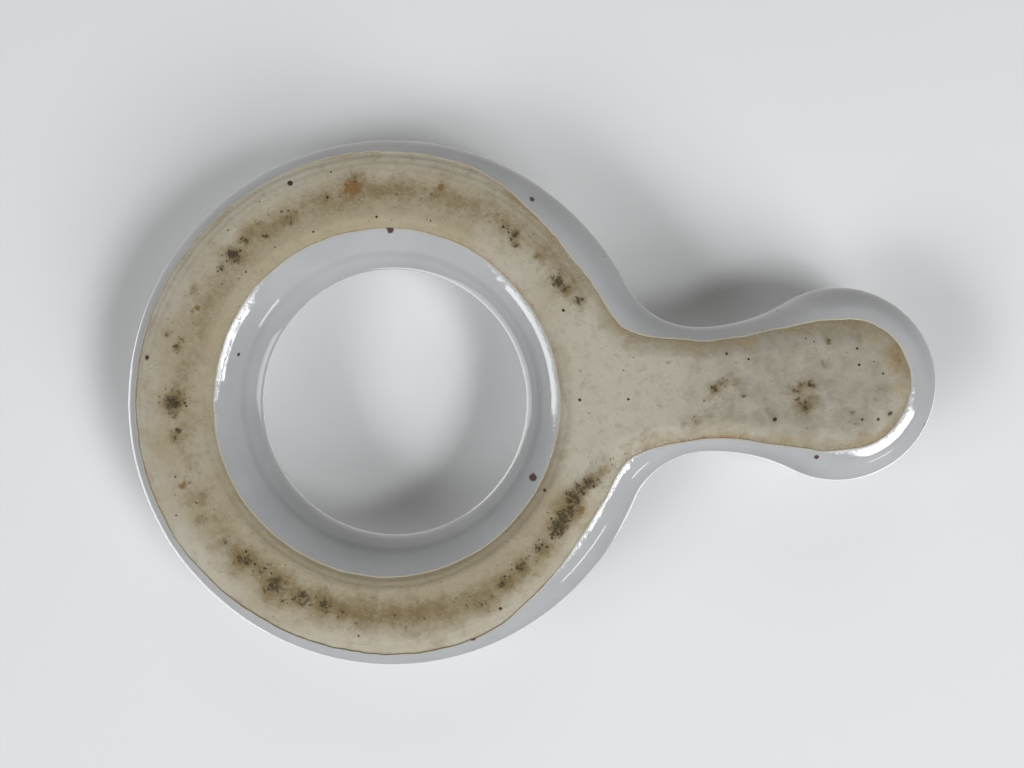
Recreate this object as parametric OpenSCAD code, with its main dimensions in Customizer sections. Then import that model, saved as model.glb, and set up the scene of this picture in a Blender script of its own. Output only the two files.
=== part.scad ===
// Chopstick rest: a fired clay ring with a short handle that ends in a round knob.
// It stands on its bare clay foot at z = 0, glazed side up, with the handle along +X.
// The origin is under the middle of the whole outline.

/* [Ring] */
// Outer diameter of the ring, at the level where it is widest
ring_d = 44; // [38:0.5:52]
// Diameter of the hole, at the level where it is narrowest
hole_d = 22.6; // [18:0.2:26]
// Height of the ring, from the foot to its crest
ring_h = 9.6; // [7.5:0.1:12]
// Height above the foot at which the ring is widest
ring_waist = 4.4; // [3.4:0.1:5.4]

/* [Handle] */
// Overall length, from the far side of the ring to the tip of the knob
overall_l = 67.5; // [62:0.5:76]
// Width of the knob
knob_w = 16.2; // [13.5:0.1:19]
// Height of the knob
knob_h = 8.4; // [7:0.1:10.5]
// Height above the foot at which the knob is widest
knob_waist = 4; // [3.2:0.1:4.8]
// Distance from the middle of the ring to the narrowest place of the neck
neck_x = 26; // [24.5:0.1:28]
// Width of the neck there
neck_w = 10.4; // [8:0.1:12.5]
// Height of the neck at its lowest, where the chopsticks lie
neck_h = 6.6; // [5.4:0.1:7.5]
// Height above the foot at which the neck is widest
neck_waist = 3.2; // [2.6:0.1:3.8]

/* [Foot] */
// How far the edge of the glaze lies inside the outline of the ring, seen from below
ring_inset = 1.85; // [1.5:0.05:2.4]
// The same distance inside the wall of the hole
hole_inset = 2.7; // [2.2:0.05:3.1]
// The same distance where it is greatest, on the ring's side towards the handle
fork_inset = 3.1; // [2.4:0.1:3.6]
// The same distance at the neck
neck_inset = 1.3; // [1:0.05:1.8]
// The same distance at the sides of the knob
knob_inset = 2.9; // [2.2:0.1:3.4]
// The same distance at the tip of the knob
tip_inset = 3.3; // [2.6:0.1:4]
// Height of the glaze above the foot at its edge
edge_z = 0.45; // [0.35:0.05:0.7]
// Width of the bare shoulder between the glaze and the flat band, on the outside of the ring
ring_shoulder = 1.8; // [1.2:0.1:2.2]
// Width of the same shoulder next to the hole
hole_shoulder = 1.2; // [0.9:0.1:1.4]
// Width of the same shoulder along the neck
neck_shoulder = 0.8; // [0.5:0.1:1.2]
// Width of the same shoulder round the knob
knob_shoulder = 1; // [0.7:0.1:1.4]

/* [Glaze] */
// Thickness of the glaze
glaze_t = 0.3; // [0.2:0.05:0.4]

/* [Hidden] */

// Steps along the half outline: round the knob, along its flank to the narrowest place, on
// to the ring's crest, along that crest to the ring's side, and round the ring
knob_steps = 16;
flank_steps = 8;
neck_steps = 7;
fork_steps = 5;
ring_steps = 36;
// Steps over the rounded top, and under the widest level to the edge of the glaze
top_steps = 8;
low_steps = 3;
// Thickness of the glaze at its edge, as a share of its thickness
edge_share = 0.6;
// Height of the shoulder's middle over that of its upper end
shoulder_share = 0.3;
// Where that middle lies, from the glaze to the flat band
shoulder_mid_share = 0.55;
// How far the crest line runs on past the middle of the knob, over the knob's radius
crest_end_share = 0.25;

ring_r = ring_d / 2;
hole_r = hole_d / 2;
knob_r = knob_w / 2;
neck_r = neck_w / 2;
crest_r = (ring_r + hole_r) / 2;
knob_x = overall_l - ring_r - knob_r;
centre_x = overall_l / 2 - ring_r;

// Each side of the neck is two arcs that meet at its narrowest place: the fork's touches the
// ring's outline, and the flank's touches the knob's
function arc_r(run, r) = (run * run + neck_r * neck_r - r * r) / (2 * (r - neck_r));
fork_r = arc_r(neck_x, ring_r);
flank_r = arc_r(knob_x - neck_x, knob_r);
fork_y = neck_r + fork_r;
flank_y = neck_r + flank_r;
// Directions in which those arcs meet the ring and the knob, from their centres
ring_turn = atan2(fork_y, neck_x);
knob_turn = atan2(flank_y, neck_x - knob_x);
ring_meet_x = ring_r * cos(ring_turn);
knob_meet_x = knob_x + knob_r * cos(knob_turn);
// Directions from the middle of the ring at which the glaze's edge starts to draw in towards
// the handle, and at which it has drawn in most
draw_turn = 65;
fork_turn = 40;

// Stations along the outline: the first is the knob's tip, the last of the half is the
// far side of the ring, and the other half mirrors them
neck_at = knob_steps + flank_steps;
fork_at = neck_at + neck_steps;
side_at = fork_at + fork_steps;
half = side_at + ring_steps;
all = 2 * half;
rows = top_steps + low_steps;
crest_n = all - fork_at;
loop_n = all - 2 * fork_at;
sheet_n = crest_n + rows * (all + loop_n);
probe = crest_r / 1000;

function mix(a, b, s) = a + (b - a) * s;
function ease(s) = let (c = max(0, min(1, s))) c * c * (3 - 2 * c);
function mirrored(p) = [p.x, -p.y];
function polar(r, turn) = [r * cos(turn), r * sin(turn)];

// A value that changes smoothly from the ring, over the neck, to the knob
function along(x, at_ring, at_neck, at_knob) = x < neck_x
    ? mix(at_ring, at_neck, ease((x - crest_r) / (neck_x - crest_r)))
    : mix(at_neck, at_knob, ease((x - neck_x) / (knob_x - neck_x)));
function crest_z(x) = along(x, ring_h, neck_h, knob_h);
function waist_z(x) = along(x, ring_waist, neck_waist, knob_waist);

// How far station j lies from station a to station b
function step_share(j, a, b) = (j - a) / (b - a);

// Outline of the half with y > 0, at the widest level
function half_outline(j) = j <= knob_steps
    ? [knob_x, 0] + polar(knob_r, knob_turn * step_share(j, 0, knob_steps))
    : j <= neck_at
    ? [neck_x, flank_y] - polar(flank_r, mix(knob_turn, 90, step_share(j, knob_steps, neck_at)))
    : j <= side_at
    ? [neck_x, fork_y] - polar(fork_r, mix(90, ring_turn, step_share(j, neck_at, side_at)))
    : polar(ring_r, side_turn(j));
function side_turn(j) = mix(ring_turn, 180, step_share(j, side_at, half));

// Crest line of the same half: along the handle's middle, then round the ring
function half_crest(j) = j <= knob_steps
    ? [knob_x + crest_end_share * (half_outline(j).x - knob_x), 0]
    : j <= neck_at
    ? [mix(half_crest(knob_steps).x, neck_x, step_share(j, knob_steps, neck_at)), 0]
    : j <= fork_at
    ? [mix(neck_x, crest_r, step_share(j, neck_at, fork_at)), 0]
    : polar(crest_r, j <= side_at ? ring_turn * step_share(j, fork_at, side_at) : side_turn(j));

// Station j's points, for both halves
function outline(j) = j <= half ? half_outline(j) : mirrored(half_outline(all - j));
function crest(j) = j <= half ? half_crest(j) : mirrored(half_crest(all - j));
function hole_edge(j) = crest(j) * hole_r / crest_r;

// How near a point is to the edge of the ring and of the handle, squared: 0 on the crest
// line and 1 at the edge. body_share blends the two into one smooth form.
function ring_share(p) = pow((norm(p) - crest_r) / (ring_r - crest_r), 2);
function handle_r(x) = x < neck_x
    ? neck_r
    : x < knob_meet_x
    ? flank_y - sqrt(pow(flank_r, 2) - pow(x - neck_x, 2))
    : sqrt(pow(knob_r, 2) - pow(min(x, knob_x) - knob_x, 2));
function handle_share(p) = let (past = p.x - max(crest_r, min(knob_x, p.x)))
    (past * past + p.y * p.y) / pow(handle_r(p.x), 2);
function body_share(p) = let (a = ring_share(p), b = handle_share(p)) a + b == 0 ? 0 : a * b / (a + b);

// The same at s of the way from station j's crest point to its outline, or to the hole
function side_share(j, s, outer) = outer
    ? body_share(mix(crest(j), outline(j), s)) * mix(1, 1 / body_share(outline(j)), s * s)
    : s * s;
function flat_at(j, s, outer) = mix(crest(j), outer ? outline(j) : hole_edge(j), s);

// Distances from the outline to the edge of the glaze and on to the flat band, as shares of
// the way back to the crest line, allowing for the angle at which that way leaves the outline
function outward(j) = let (d = outline(j + 1 == all ? 0 : j + 1) - outline(j == 0 ? all - 1 : j - 1))
    [d.y, -d.x] / norm(d);
function reach(j, outer) = outer
    ? (outline(j) - crest(j)) * outward(j)
    : crest_r - hole_r;
function inset(j, outer) = outer ? outer_inset(outline(j).x) : hole_inset;
function outer_inset(x) = let (
    draw_x = ring_r * cos(draw_turn),
    most_x = ring_r * cos(fork_turn),
    neck_from_x = (ring_meet_x + neck_x) / 2,
    neck_to_x = (neck_x + knob_meet_x) / 2
)
    x < most_x
    ? mix(ring_inset, fork_inset, ease((x - draw_x) / (most_x - draw_x)))
    : x < neck_x
    ? mix(fork_inset, neck_inset, ease((x - most_x) / (neck_from_x - most_x)))
    : x < knob_x
    ? mix(neck_inset, knob_inset, ease((x - neck_to_x) / (knob_x - neck_to_x)))
    : mix(knob_inset, tip_inset, ease((x - knob_x) / knob_r));
function shoulder(j, outer) = outer
    ? along(outline(j).x, ring_shoulder, neck_shoulder, knob_shoulder)
    : hole_shoulder;
function edge_at(j, outer) = 1 - inset(j, outer) / reach(j, outer);
function band_at(j, outer) = 1 - (inset(j, outer) + shoulder(j, outer)) / reach(j, outer);

// A point of the glazed surface: rows 0 to top_steps run over the top from the crest to the
// outline, and the rest turn under it to the edge of the glaze
function skin(j, k, outer) = k <= top_steps
    ? let (s = sin(90 * k / top_steps), p = flat_at(j, s, outer), g = side_share(j, s, outer))
        [p.x, p.y, mix(waist_z(p.x), crest_z(p.x), sqrt(max(0, 1 - g)))]
    : let (
        e = edge_at(j, outer),
        s = sin(mix(90, asin(e), (k - top_steps) / low_steps)),
        p = flat_at(j, s, outer),
        g = (1 - side_share(j, s, outer)) / (1 - side_share(j, e, outer))
    )
        [p.x, p.y, mix(waist_z(p.x), edge_z, sqrt(max(0, g)))];

// Direction straight out of that surface
function dome_z(p) = mix(waist_z(p.x), crest_z(p.x), sqrt(max(0, 1 - body_share(p))));
function slope(p, way) = (dome_z(p + way * probe) - dome_z(p - way * probe)) / (2 * probe);
function unit(v) = v / norm(v);
function next(j, outer) = j + 1 < (outer ? all : all - fork_at) ? j + 1 : (outer ? 0 : fork_at);
function prev(j, outer) = j - 1 >= (outer ? 0 : fork_at) ? j - 1 : (outer ? all : all - fork_at) - 1;
function facing(j, k, outer) = k == 0
    ? unit([-slope(crest(j), [1, 0]), -slope(crest(j), [0, 1]), 1])
    : let (
        run = skin(next(j, outer), k, outer) - skin(prev(j, outer), k, outer),
        fall = skin(j, min(rows, k + 1), outer) - skin(j, k - 1, outer)
    )
        unit(outer ? cross(fall, run) : cross(run, fall));

// The clay lies a glaze's thickness under it, less near the edge
function depth(k) = glaze_t * (k == rows ? edge_share : 1);
function clay(j, k, outer) = skin(j, k, outer) - depth(k) * facing(j, k, outer);

// A point of the bare foot: 1 is on the shoulder, and 2 as far below the foot, so that the cut
// at z = 0 runs along the flat band's edge
function foot(j, i, outer) = let (
    top = clay(j, rows, outer),
    band = band_at(j, outer),
    half_way = mix(edge_at(j, outer), band, shoulder_mid_share),
    p = flat_at(j, i == 1 ? half_way : 2 * band - half_way, outer)
)
    [p.x, p.y, (i == 1 ? 1 : -1) * shoulder_share * top.z];
foot_cut = shoulder_share * edge_z;

// Lists of points, and the places of station j's point in them. The crest line along the
// handle is shared by both halves.
outer_js = [for (j = [0 : all - 1]) j];
loop_js = [for (j = [fork_at : all - fork_at - 1]) j];
skin_points = concat(
    [for (j = [0 : crest_n - 1]) skin(j, 0, true)],
    [for (k = [1 : rows]) for (j = outer_js) skin(j, k, true)],
    [for (k = [1 : rows]) for (j = loop_js) skin(j, k, false)]
);
clay_points = concat(
    [for (j = [0 : crest_n - 1]) clay(j, 0, true)],
    [for (k = [1 : rows]) for (j = outer_js) clay(j, k, true)],
    [for (k = [1 : rows]) for (j = loop_js) clay(j, k, false)]
);
foot_points = concat(
    [for (i = [1 : 2]) for (j = outer_js) foot(j, i, true)],
    [for (i = [1 : 2]) for (j = loop_js) foot(j, i, false)],
    [for (j = [0 : crest_n - 1]) [crest(j).x, crest(j).y, -foot_cut]]
);
function crest_id(j) = j < crest_n ? j : all - j;
function sheet_id(j, k, outer) = k == 0
    ? crest_id(j)
    : outer
    ? crest_n + (k - 1) * all + j
    : crest_n + rows * all + (k - 1) * loop_n + j - fork_at;
function foot_id(j, i, outer) = i == 0
    ? sheet_id(j, rows, outer)
    : i == 3
    ? sheet_n + 2 * (all + loop_n) + crest_id(j)
    : sheet_n + (outer ? (i - 1) * all + j : 2 * all + (i - 1) * loop_n + j - fork_at);

// Two triangles between four corners, wound for the outer side or for the hole's
function pair(a, b, c, d, outer) = outer ? [[a, b, c], [a, c, d]] : [[a, c, b], [a, d, c]];
function turned(faces) = [for (f = faces) [f[0], f[2], f[1]]];
function sheet_faces() = [
    for (outer = [true, false], j = outer ? outer_js : loop_js, k = [0 : rows - 1])
        let (n = next(j, outer))
            each pair(
                sheet_id(j, k, outer),
                sheet_id(n, k, outer),
                sheet_id(n, k + 1, outer),
                sheet_id(j, k + 1, outer),
                outer
            )
];
function foot_faces() = [
    for (outer = [true, false], j = outer ? outer_js : loop_js, i = [0 : 2])
        let (n = next(j, outer))
            each pair(
                foot_id(j, i, outer),
                foot_id(n, i, outer),
                foot_id(n, i + 1, outer),
                foot_id(j, i + 1, outer),
                outer
            )
];
function rim_faces() = [
    for (outer = [true, false], j = outer ? outer_js : loop_js)
        let (n = next(j, outer), a = sheet_id(j, rows, outer), b = sheet_id(n, rows, outer))
            each pair(a, b, b + sheet_n, a + sheet_n, outer)
];

// Fired clay, bare on the foot
module clay_body() {
    color([0.79, 0.74, 0.65])
        difference() {
            translate([-centre_x, 0, 0])
                polyhedron(
                    concat(clay_points, foot_points),
                    concat(sheet_faces(), foot_faces()),
                    convexity = 4
                );
            translate([-overall_l, -overall_l, -overall_l])
                cube([2 * overall_l, 2 * overall_l, overall_l]);
        }
}

// Glaze over the top, the sides and the wall of the hole
module glaze_coat() {
    under = [for (f = turned(sheet_faces())) [for (v = f) v + sheet_n]];
    color([0.82, 0.83, 0.87])
        translate([-centre_x, 0, 0])
            polyhedron(
                concat(skin_points, clay_points),
                concat(sheet_faces(), under, rim_faces()),
                convexity = 4
            );
}

clay_body();
glaze_coat();
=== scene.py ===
import math
import bmesh
import bpy
import numpy as np
from mathutils import Matrix, Vector, noise


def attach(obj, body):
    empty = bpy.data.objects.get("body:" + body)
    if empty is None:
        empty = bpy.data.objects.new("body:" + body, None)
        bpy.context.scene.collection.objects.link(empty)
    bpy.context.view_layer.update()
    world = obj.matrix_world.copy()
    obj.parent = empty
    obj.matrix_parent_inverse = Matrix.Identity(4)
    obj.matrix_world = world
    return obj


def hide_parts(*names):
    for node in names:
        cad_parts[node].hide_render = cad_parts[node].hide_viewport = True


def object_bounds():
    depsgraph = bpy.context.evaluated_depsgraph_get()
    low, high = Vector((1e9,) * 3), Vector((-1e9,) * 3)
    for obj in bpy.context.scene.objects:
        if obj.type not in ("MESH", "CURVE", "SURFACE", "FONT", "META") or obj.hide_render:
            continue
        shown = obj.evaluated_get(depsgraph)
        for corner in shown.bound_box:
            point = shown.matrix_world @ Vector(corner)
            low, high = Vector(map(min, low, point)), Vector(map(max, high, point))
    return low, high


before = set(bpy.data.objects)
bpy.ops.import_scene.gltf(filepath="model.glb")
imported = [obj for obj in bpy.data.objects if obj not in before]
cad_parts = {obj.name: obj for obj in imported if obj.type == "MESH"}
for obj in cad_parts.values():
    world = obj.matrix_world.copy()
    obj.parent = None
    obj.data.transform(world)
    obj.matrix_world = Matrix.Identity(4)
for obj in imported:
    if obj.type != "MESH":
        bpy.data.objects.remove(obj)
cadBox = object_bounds()
print("frame loaded")

mm = 0.001

# The fired form, in millimetres from the middle of the ring, with the handle along +X
form = {
    "ringDiameter": 44.0,
    "holeDiameter": 22.6,
    "ringHeight": 9.6,
    "ringWaist": 4.4,
    "length": 67.5,
    "knobWidth": 16.2,
    "knobHeight": 8.4,
    "knobWaist": 4.0,
    "neckPlace": 26.0,
    "neckWidth": 10.4,
    "neckHeight": 6.6,
    "neckWaist": 3.2,
    "faceLength": 0.28,  # along the outline
    "topRows": 24,
    "lowRows": 14,
    "wobble": 0.07,  # how far the hand-smoothed surface strays
    "wobbleSize": 11.0,
    "crestShare": 0.25,  # how much of the knob's roundness its crest line follows
    "weldGap": 0.002,  # points nearer than this become one
    "shortEdge": 0.0005,
}

# Where each texture of the surface starts in the noise
seeds = {"glazeEdge": 3.7, "turning": 5.1, "lumps": 7.9, "wobble": (11.3, 16.3)}

ringR = form["ringDiameter"] / 2
holeR = form["holeDiameter"] / 2
knobR = form["knobWidth"] / 2
neckR = form["neckWidth"] / 2
neckX = form["neckPlace"]
crestR = (ringR + holeR) / 2
knobX = form["length"] - ringR - knobR
centreX = form["length"] / 2 - ringR


def mix(a, b, s):
    return a + (b - a) * s


def ease(s):
    c = np.clip(s, 0, 1)
    return c * c * (3 - 2 * c)


def polar(r, turn):
    return np.stack([r * np.cos(turn), r * np.sin(turn)], -1)


def unit(v):
    return v / np.maximum(np.linalg.norm(v, axis=-1, keepdims=True), 1e-12)


def grain(points, size, seed):  # smooth noise from -1 to 1, with lumps about size across
    points = np.asarray(points)
    flat = points.reshape(-1, points.shape[-1]) / size + seed
    if flat.shape[1] == 2:
        flat = np.column_stack([flat, np.full(len(flat), seed)])
    return np.reshape([noise.noise(Vector(p)) for p in flat.tolist()], points.shape[:-1])


# Outline: two arcs on each side of the neck, touching the ring's circle and the knob's
forkR = (neckX**2 + neckR**2 - ringR**2) / (2 * (ringR - neckR))
flankR = ((knobX - neckX) ** 2 + neckR**2 - knobR**2) / (2 * (knobR - neckR))
forkY = neckR + forkR
flankY = neckR + flankR
ringTurn = math.atan2(forkY, neckX)
knobTurn = math.atan2(flankY, neckX - knobX)
ringMeetX = ringR * math.cos(ringTurn)
knobMeetX = knobX + knobR * math.cos(knobTurn)


def stepsFor(length):
    return max(4, round(length / form["faceLength"]))


knobSteps = stepsFor(knobR * knobTurn)
flankSteps = stepsFor(flankR * (knobTurn - math.pi / 2))
neckSteps = stepsFor(neckX - crestR)
forkSteps = stepsFor(forkR * (math.pi / 2 - ringTurn) - (neckX - crestR))
ringSteps = stepsFor(ringR * (math.pi - ringTurn))
forkAt = knobSteps + flankSteps + neckSteps


def halfLoop():
    knob = [knobX, 0] + polar(knobR, np.linspace(0, knobTurn, knobSteps + 1))
    flank = [neckX, flankY] - polar(flankR, np.linspace(knobTurn, math.pi / 2, flankSteps + 1)[1:])
    forkTurns = np.linspace(math.pi / 2, ringTurn, neckSteps + forkSteps + 1)[1:]
    fork = [neckX, forkY] - polar(forkR, forkTurns)
    sideTurns = np.linspace(ringTurn, math.pi, ringSteps + 1)[1:]
    edge = np.concatenate([knob, flank, fork, polar(ringR, sideTurns)])
    underKnob = knobX + form["crestShare"] * (knob[:, 0] - knobX)
    underFlank = np.linspace(underKnob[-1], neckX, flankSteps + 1)[1:]
    underNeck = np.linspace(neckX, crestR, neckSteps + 1)[1:]
    handle = np.concatenate([underKnob, underFlank, underNeck])
    turns = np.concatenate([np.linspace(0, ringTurn, forkSteps + 1)[1:], sideTurns])
    middle = np.concatenate([np.stack([handle, 0 * handle], -1), polar(crestR, turns)])
    return edge, middle


def wholeLoop(points):
    return np.concatenate([points, points[-2:0:-1] * [1, -1]])


outerEdge, crestLine = [wholeLoop(points) for points in halfLoop()]
ringPart = slice(forkAt, len(outerEdge) - forkAt + 1)
loops = {
    "outer": (outerEdge, crestLine),
    "hole": (crestLine[ringPart][:-1] * holeR / crestR, crestLine[ringPart][:-1]),
}


def along(x, atRing, atNeck, atKnob):
    ringward = mix(atRing, atNeck, ease((x - crestR) / (neckX - crestR)))
    knobward = mix(atNeck, atKnob, ease((x - neckX) / (knobX - neckX)))
    return np.where(x < neckX, ringward, knobward)


def crestZ(x):
    return along(x, form["ringHeight"], form["neckHeight"], form["knobHeight"])


def waistZ(x):
    return along(x, form["ringWaist"], form["neckWaist"], form["knobWaist"])


def handleR(x):
    flank = flankY - np.sqrt(np.maximum(flankR**2 - (x - neckX) ** 2, 0))
    knob = np.sqrt(np.maximum(knobR**2 - (np.minimum(x, knobX) - knobX) ** 2, 0))
    return np.where(x < neckX, neckR, np.where(x < knobMeetX, flank, knob))


def bodyShare(p):  # 0 on the crest line and 1 at the edge
    x, y = p[..., 0], p[..., 1]
    a = ((np.hypot(x, y) - crestR) / (ringR - crestR)) ** 2
    past = x - np.clip(x, crestR, knobX)
    b = (past**2 + y**2) / handleR(x) ** 2
    return a * b / np.maximum(a + b, 1e-12)


# Where the glaze stops on the underside, in millimetres in from the outline
glazeEdge = {
    "ring": 1.85,
    "hole": 2.7,
    "fork": 3.1,
    "neck": 1.3,
    "knob": 2.9,
    "tip": 3.3,
    "drawTurn": 71,  # degrees round the ring, where the edge starts to draw in for the fork
    "mostTurn": 33,  # and where it is furthest in
    "neckShare": 0.8,  # of the way on to the neck, where it is back out
    "height": 0.45,  # above the foot
    "knobHeight": 0.15,
    "thickness": 0.3,
    "endShare": 0.3,  # of the thickness, left at the edge
    "innerStep": 4,  # rows of the outside for each row of the inside
    "lipWidth": 0.12,
    "lipDepth": 0.05,
    "lipRows": 4,
    "lipSpread": 0.1,
    "lift": 0.17,  # how much flatter the glaze runs out beside the neck
    "holeLift": 0.12,
    "knobLift": 0.5,
    "liftWidth": 1.15,
    "liftFrom": {"outer": 8, "hole": 3},  # along X from the ring's middle
    "liftOver": 8,
    "liftRound": 0.02,
    "wander": {9.0: 0.16, 2.5: 0.06, 0.9: 0.05},  # size of the lumps: how far they stray
}

# The bare clay between the glaze and the flat of the foot
foot = {
    "ring": 1.8,
    "hole": 1.2,
    "neck": 1.6,
    "knob": 2.2,
    "shoulderRows": 16,
    "flatRows": 20,
    "curve": 1.5,
    "ridge": 0.016,  # turning lines left on the ring
    "ridgeGap": 0.6,
    "ridgeWander": 0.12,
    "ridgeWanderSize": 6.0,
    "ridgeEnd": 2.0,  # short of the crest's radius, where they fade towards the handle
    "ridgeEndOver": 5.0,
    "ridgeHeight": 0.12,  # where they are full
    "ridgeFar": 0.2,
    "lump": 0.03,
    "lumpSize": 1.6,
    "lumpFar": 0.3,
}


def insetAt(side, edge):
    x = edge[:, 0]
    if side == "hole":
        inset = np.full(len(x), glazeEdge["hole"])
    else:
        drawX = ringR * math.cos(math.radians(glazeEdge["drawTurn"]))
        mostX = ringR * math.cos(math.radians(glazeEdge["mostTurn"]))
        neckFrom = mix(ringMeetX, neckX, glazeEdge["neckShare"])
        neckTo = (neckX + knobMeetX) / 2
        inset = np.select(
            [x < mostX, x < neckX, x < knobX],
            [
                mix(glazeEdge["ring"], glazeEdge["fork"], ease((x - drawX) / (mostX - drawX))),
                mix(glazeEdge["fork"], glazeEdge["neck"], ease((x - mostX) / (neckFrom - mostX))),
                mix(glazeEdge["neck"], glazeEdge["knob"], ease((x - neckTo) / (knobX - neckTo))),
            ],
            mix(glazeEdge["knob"], glazeEdge["tip"], ease((x - knobX) / knobR)),
        )
    for size, far in glazeEdge["wander"].items():
        inset = inset + far * grain(edge, size, seeds["glazeEdge"])
    return inset - glazeEdge["lipSpread"]


def shoulderAt(side, edge):
    if side == "hole":
        return np.full(len(edge), foot["hole"])
    return along(edge[:, 0], foot["ring"], foot["neck"], foot["knob"])


def reachAt(side, edge, middle):
    if side == "hole":
        return np.full(len(edge), crestR - holeR)
    run = np.roll(edge, -1, 0) - np.roll(edge, 1, 0)
    outward = unit(np.stack([run[:, 1], -run[:, 0]], -1))
    return ((edge - middle) * outward).sum(-1)


def shareAt(side, edge, middle, s):
    if side == "hole":
        return s**2
    at = middle + (edge - middle) * s[..., None]
    return bodyShare(at) * mix(1, 1 / bodyShare(edge), s**2)


def liftAt(side, edge, low, onKnob):  # how much flatter the glaze's last rows run out
    near = 1 - np.linalg.norm(low - low[-1], axis=-1) / glazeEdge["liftWidth"]
    amount = glazeEdge["holeLift" if side == "hole" else "lift"] * (1 - onKnob)
    amount = amount * ease((edge[:, 0] - glazeEdge["liftFrom"][side]) / glazeEdge["liftOver"])
    straight = (near + np.sqrt(near**2 + glazeEdge["liftRound"])) / 2 * ease(near + 1)
    return amount * np.clip(near, 0, 1) ** 2 + glazeEdge["knobLift"] * onKnob * straight


def skinOf(side, inset):  # the glazed surface: rows by stations by 3
    edge, middle = loops[side]
    endS = 1 - inset / reachAt(side, edge, middle)
    topS = np.sin(np.linspace(0, math.pi / 2, form["topRows"] + 1))[:, None] * np.ones(len(edge))
    down = np.linspace(0, 1, form["lowRows"] + 1)[1:, None]
    lowS = np.sin(mix(math.pi / 2, np.arcsin(endS), down))
    left = (1 - shareAt(side, edge, middle, lowS)) / (1 - shareAt(side, edge, middle, endS))
    rise = np.sqrt(np.clip(1 - shareAt(side, edge, middle, topS), 0, 1))
    flat = middle + (edge - middle) * np.concatenate([topS, lowS])[..., None]
    x = flat[..., 0]
    topX, lowX = x[: len(topS)], x[len(topS) :]
    topZ = mix(waistZ(topX), crestZ(topX), rise)
    onKnob = ease((edge[:, 0] - neckX) / (knobX - neckX)) if side == "outer" else 0
    endZ = mix(glazeEdge["height"], glazeEdge["knobHeight"], onKnob)
    lowZ = mix(waistZ(lowX), endZ, np.sqrt(np.clip(left, 0, 1)))
    lowZ = lowZ + liftAt(side, edge, flat[len(topS) :], onKnob)
    return np.concatenate([flat, np.concatenate([topZ, lowZ])[..., None]], -1)


def facing(side, sheet):  # straight out of it
    run = np.roll(sheet, -1, 1) - np.roll(sheet, 1, 1)
    down = np.concatenate([sheet[1:], sheet[-1:]]) - np.concatenate([sheet[:1], sheet[:-1]])
    out = unit(np.cross(down, run) if side == "outer" else np.cross(run, down))
    x, probe = sheet[0, :, 0], 0.01
    slope = (crestZ(x + probe) - crestZ(x - probe)) / (2 * probe) * (sheet[0, :, 1] == 0)
    out[0] = unit(np.stack([-slope, 0 * x, 1 + 0 * x], -1))
    return out


def placed(points):  # into the frame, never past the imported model's box
    out = points - [centreX, 0, 0]
    for axis in range(2):
        strayed = grain(points[..., :2], form["wobbleSize"], seeds["wobble"][axis])
        out[..., axis] += form["wobble"] * strayed
    return np.clip(out * mm, np.array(cadBox[0]), np.array(cadBox[1]))


def joinSheets(name, sheets, material):  # sheets: (points, turned, values per point)
    points, faces, count = [], [], 0
    values = {key: [] for sheet in sheets for key in sheet[2]}
    for sheet, turned, extra in sheets:
        size = sheet.shape[:2]
        ids = count + np.arange(size[0] * size[1]).reshape(size)
        after = np.roll(ids, -1, 1)
        quads = np.stack([ids[:-1], ids[1:], after[1:], after[:-1]], -1).reshape(-1, 4)
        faces += (quads[:, ::-1] if turned else quads).tolist()
        points.append(placed(sheet).reshape(-1, 3))
        for key in values:
            values[key].append(np.broadcast_to(extra.get(key, 0.0), size).reshape(-1))
        count += size[0] * size[1]
    mesh = bpy.data.meshes.new(name)
    mesh.from_pydata(np.concatenate(points).tolist(), [], faces)
    for key, parts in values.items():
        kept = np.concatenate(parts).astype(np.float32)
        mesh.attributes.new(key, "FLOAT", "POINT").data.foreach_set("value", kept)
    work = bmesh.new()
    work.from_mesh(mesh)
    bmesh.ops.remove_doubles(work, verts=work.verts, dist=form["weldGap"] * mm)
    bmesh.ops.dissolve_degenerate(work, edges=work.edges, dist=form["shortEdge"] * mm)
    bmesh.ops.recalc_face_normals(work, faces=work.faces)
    work.to_mesh(mesh)
    work.free()
    mesh.shade_smooth()
    mesh.materials.append(material)
    piece = bpy.data.objects.new(name, mesh)
    bpy.context.scene.collection.objects.link(piece)
    return piece


def lipOf(skin, out):  # the glaze's rounded end, from its last row down into the clay
    inward = unit(skin[-1] - skin[-2])
    turns = np.linspace(0, math.pi / 2, glazeEdge["lipRows"] + 1)[1:, None, None]
    ahead = inward * np.sin(turns) * glazeEdge["lipWidth"]
    return skin[-1] + ahead - out[-1] * (1 - np.cos(turns)) * glazeEdge["lipDepth"]


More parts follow.
